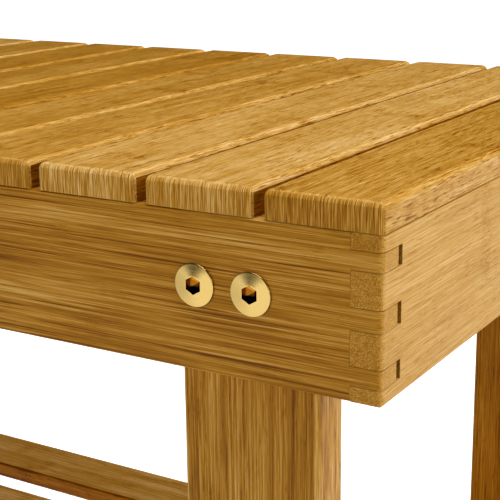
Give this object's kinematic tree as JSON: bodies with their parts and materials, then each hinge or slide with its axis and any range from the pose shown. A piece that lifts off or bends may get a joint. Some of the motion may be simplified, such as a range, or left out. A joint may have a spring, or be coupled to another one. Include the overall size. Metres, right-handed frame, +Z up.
{
  "type": "entryway bench",
  "caption": "Slatted bamboo entryway bench: finger-jointed apron frame, flat legs held by brass socket bolts, and an open slatted shoe shelf below.",
  "frame": {"origin": "on the floor, under the middle of the bench", "axes": "+X along the bench's length to the right, +Y from its front to its back, +Z up"},
  "size_m": [0.9988, 0.381, 0.45],
  "materials": {
    "seat_bamboo": "oiled laminated bamboo, satin",
    "apron_bamboo": "oiled laminated bamboo, satin",
    "leg_bamboo": "oiled laminated bamboo, satin",
    "shelf_bamboo": "oiled laminated bamboo, satin",
    "support_bamboo": "plain laminated bamboo",
    "brass": "turned, polished",
    "glide_plastic": "matte"
  },
  "bodies": {
    "root": {"apron_back": "apron_bamboo", "apron_front": "apron_bamboo", "apron_left": "apron_bamboo", "apron_right": "apron_bamboo", "bolt_back_left_inner": "brass", "bolt_back_left_outer": "brass", "bolt_back_right_inner": "brass", "bolt_back_right_outer": "brass", "bolt_front_left_inner": "brass", "bolt_front_left_outer": "brass", "bolt_front_right_inner": "brass", "bolt_front_right_outer": "brass", "brace_center": "support_bamboo", "cleat_back": "support_bamboo", "cleat_front": "support_bamboo", "glide_back_left": "glide_plastic", "glide_back_right": "glide_plastic", "glide_front_left": "glide_plastic", "glide_front_right": "glide_plastic", "leg_back_left": "leg_bamboo", "leg_back_right": "leg_bamboo", "leg_front_left": "leg_bamboo", "leg_front_right": "leg_bamboo", "nut_back_left_inner": "brass", "nut_back_left_outer": "brass", "nut_back_right_inner": "brass", "nut_back_right_outer": "brass", "nut_front_left_inner": "brass", "nut_front_left_outer": "brass", "nut_front_right_inner": "brass", "nut_front_right_outer": "brass", "rail_left": "shelf_bamboo", "rail_right": "shelf_bamboo", "seat_slat_01": "seat_bamboo", "seat_slat_02": "seat_bamboo", "seat_slat_03": "seat_bamboo", "seat_slat_04": "seat_bamboo", "seat_slat_05": "seat_bamboo", "seat_slat_06": "seat_bamboo", "seat_slat_07": "seat_bamboo", "seat_slat_08": "seat_bamboo", "seat_slat_09": "seat_bamboo", "seat_slat_10": "seat_bamboo", "seat_slat_11": "seat_bamboo", "seat_slat_12": "seat_bamboo", "seat_slat_13": "seat_bamboo", "seat_slat_14": "seat_bamboo", "seat_slat_15": "seat_bamboo", "seat_slat_16": "seat_bamboo", "seat_slat_17": "seat_bamboo", "seat_slat_18": "seat_bamboo", "seat_slat_19": "seat_bamboo", "shelf_board_1": "shelf_bamboo", "shelf_board_2": "shelf_bamboo", "shelf_board_3": "shelf_bamboo", "shelf_board_4": "shelf_bamboo", "shelf_board_5": "shelf_bamboo"}
  },
  "joints": []
}
